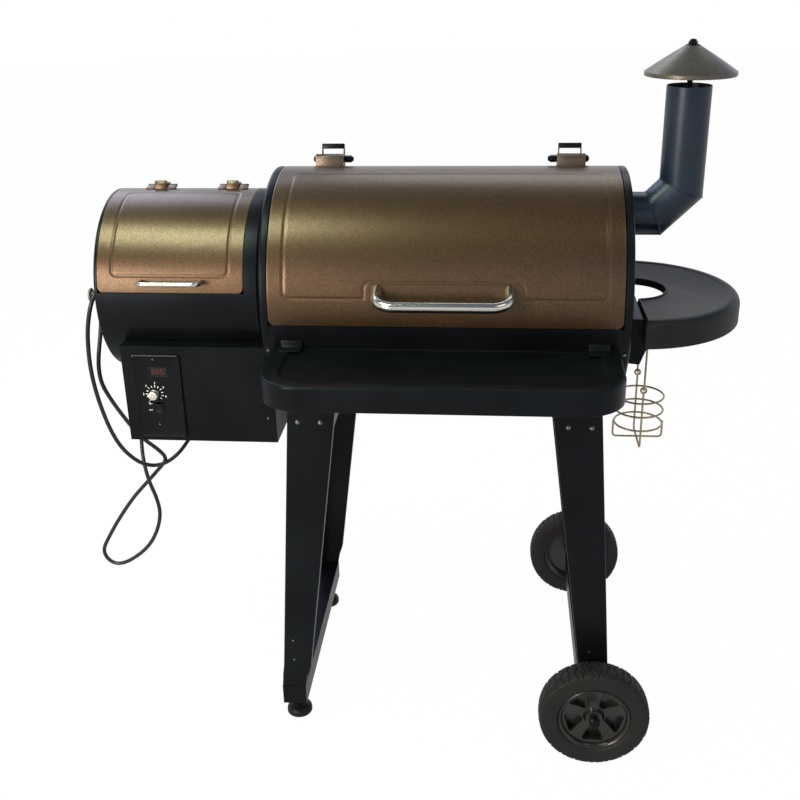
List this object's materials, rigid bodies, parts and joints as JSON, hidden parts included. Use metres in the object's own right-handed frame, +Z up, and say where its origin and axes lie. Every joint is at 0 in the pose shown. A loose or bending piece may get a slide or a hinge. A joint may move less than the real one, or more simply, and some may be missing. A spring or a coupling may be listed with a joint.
{
  "type": "pellet smoker grill",
  "caption": "Barrel-shaped wood-pellet smoker grill with a side hopper, chimney with cap, front and side shelves, splayed legs, wheels and a hanging grease basket.",
  "frame": {"origin": "on the ground, under the middle of the bounding box of the grill without its mains cord and plug", "axes": "+Z up; the front, with the lids' handles, faces -Y; +X runs along the barrel from the hopper towards the chimney"},
  "size_m": [1.2779, 0.694, 1.27],
  "materials": {
    "black_steel": "satin black powder coat",
    "bronze_steel": "bronze metallic powder coat",
    "stainless": "brushed stainless steel",
    "black_plastic": "moulded black nylon",
    "charcoal_plastic": "moulded charcoal tray, fine texture",
    "grey_plastic": "moulded grey",
    "enamel": "black porcelain enamel",
    "galvanised": "galvanised sheet, dull",
    "cord_sheath": "black sheath",
    "tyre_rubber": "solid rubber, matte",
    "display": "dark red display window"
  },
  "bodies": {
    "grill_body": {"auger_motor": "galvanised", "auger_tube": "galvanised", "axle": "galvanised", "barrel_shell": "black_steel", "blower_housing": "black_plastic", "chimney_pipe": "black_steel", "chimney_rod": "black_steel", "control_panel": "black_steel", "controller_housing": "black_steel", "cooking_grate": "enamel", "cord_gland": "black_plastic", "cord_peg": "grey_plastic", "crossbar_left": "black_steel", "crossbar_right": "black_steel", "display_window": "display", "drip_tray": "black_steel", "end_panel_left": "black_steel", "end_panel_right": "black_steel", "fire_pot": "enamel", "front_shelf": "black_steel", "grease_spout": "black_steel", "heat_baffle": "black_steel", "hopper_bin": "galvanised", "hopper_guard": "galvanised", "hopper_shell": "black_steel", "igniter": "galvanised", "leg_front_left": "black_steel", "leg_front_right": "black_steel", "leg_rear_left": "black_steel", "leg_rear_right": "black_steel", "lid_stop_left": "black_steel", "lid_stop_right": "black_steel", "plug": "black_plastic", "power_cord": "cord_sheath", "saddle_left": "black_steel", "saddle_right": "black_steel", "side_shelf": "charcoal_plastic", "side_shelf_bracket": "black_steel", "temperature_probe": "stainless"},
    "main_lid": {"main_lid": "bronze_steel", "lid_handle": "stainless", "lid_hinge_left": "bronze_steel", "lid_hinge_right": "bronze_steel"},
    "hopper_lid": {"hopper_lid": "bronze_steel", "hopper_lid_handle": "stainless", "hopper_hinge_left": "bronze_steel", "hopper_hinge_right": "bronze_steel"},
    "control_knob": {"control_knob": "stainless"},
    "rocker_switch": {"rocker_switch": "black_plastic"},
    "auger": {"auger": "galvanised"},
    "blower_impeller": {"blower_impeller": "black_plastic"},
    "chimney_cap": {"chimney_cap": "bronze_steel"},
    "basket_bail": {"basket_bail": "stainless"},
    "basket": {"basket": "stainless"},
    "foot_front": {"foot_front": "black_plastic"},
    "foot_rear": {"foot_rear": "black_plastic"},
    "wheel_front": {"tyre_front": "tyre_rubber", "hub_front": "black_plastic"},
    "wheel_rear": {"tyre_rear": "tyre_rubber", "hub_rear": "black_plastic"}
  },
  "joints": [
    {"name": "main_lid_hinge", "type": "hinge", "parent": "grill_body", "child": "main_lid", "pos_m": [0.06165, 0.08198, 1.06233], "axis": [-1, 0, 0], "range_deg": [0, 122]},
    {"name": "hopper_lid_hinge", "type": "hinge", "parent": "grill_body", "child": "hopper_lid", "pos_m": [-0.41685, 0.05932, 1.01923], "axis": [-1, 0, 0], "range_deg": [0, 120]},
    {"name": "temperature_knob", "type": "hinge", "parent": "grill_body", "child": "control_knob", "pos_m": [-0.45795, -0.149, 0.6878], "axis": [0, 1, 0], "range_deg": [-40, 235]},
    {"name": "power_rocker", "type": "hinge", "parent": "grill_body", "child": "rocker_switch", "pos_m": [-0.45205, -0.1493, 0.6613], "axis": [-1, 0, 0], "range_deg": [0, 18]},
    {"name": "auger_spin", "type": "hinge", "parent": "grill_body", "child": "auger", "pos_m": [0.06165, 0.031, 0.69], "axis": [1, 0, 0], "continuous": true},
    {"name": "blower_spin", "type": "hinge", "parent": "grill_body", "child": "blower_impeller", "pos_m": [-0.33835, 0.091, 0.648], "axis": [0, 1, 0], "continuous": true},
    {"name": "chimney_cap_height", "type": "slide", "parent": "grill_body", "child": "chimney_cap", "axis": [0, 0, 1], "range_m": [-0.006, 0.02]},
    {"name": "basket_bail_swing", "type": "hinge", "parent": "grill_body", "child": "basket_bail", "pos_m": [0.42515, 0.031, 0.73895], "axis": [0, 1, 0], "range_deg": [-4, 4]},
    {"name": "basket_swing", "type": "hinge", "parent": "basket_bail", "child": "basket", "pos_m": [0.42515, 0.031, 0.6531], "axis": [0, 1, 0], "range_deg": [-12, 12]},
    {"name": "front_foot_height", "type": "slide", "parent": "grill_body", "child": "foot_front", "axis": [0, 0, -1], "range_m": [-0.005, 0.015]},
    {"name": "rear_foot_height", "type": "slide", "parent": "grill_body", "child": "foot_rear", "axis": [0, 0, -1], "range_m": [-0.005, 0.015]},
    {"name": "front_wheel_spin", "type": "hinge", "parent": "grill_body", "child": "wheel_front", "pos_m": [0.34215, -0.252, 0.1016], "axis": [0, 1, 0], "continuous": true},
    {"name": "rear_wheel_spin", "type": "hinge", "parent": "grill_body", "child": "wheel_rear", "pos_m": [0.34215, 0.314, 0.1016], "axis": [0, 1, 0], "continuous": true}
  ]
}
